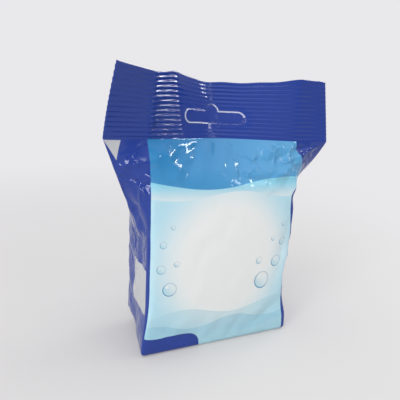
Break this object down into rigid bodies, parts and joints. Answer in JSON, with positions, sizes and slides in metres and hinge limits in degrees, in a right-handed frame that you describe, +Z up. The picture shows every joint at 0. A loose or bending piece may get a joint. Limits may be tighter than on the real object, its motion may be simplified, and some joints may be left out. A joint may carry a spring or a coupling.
{
  "type": "sealed pouch of a water filter cartridge",
  "caption": "Sealed printed film pouch holding a water pitcher filter cartridge, with a wide crimped header, a die-cut hang slot and side ears.",
  "frame": {"origin": "middle of the base, on the surface that the pouch stands on", "axes": "+Z up, from the base to the crimped header; the front panel faces -Y; +X to the right as seen from the front"},
  "size_m": [0.16, 0.0705, 0.18],
  "materials": {
    "film": "glossy printed film"
  },
  "bodies": {
    "root": {"film_pouch": "film"}
  },
  "joints": []
}
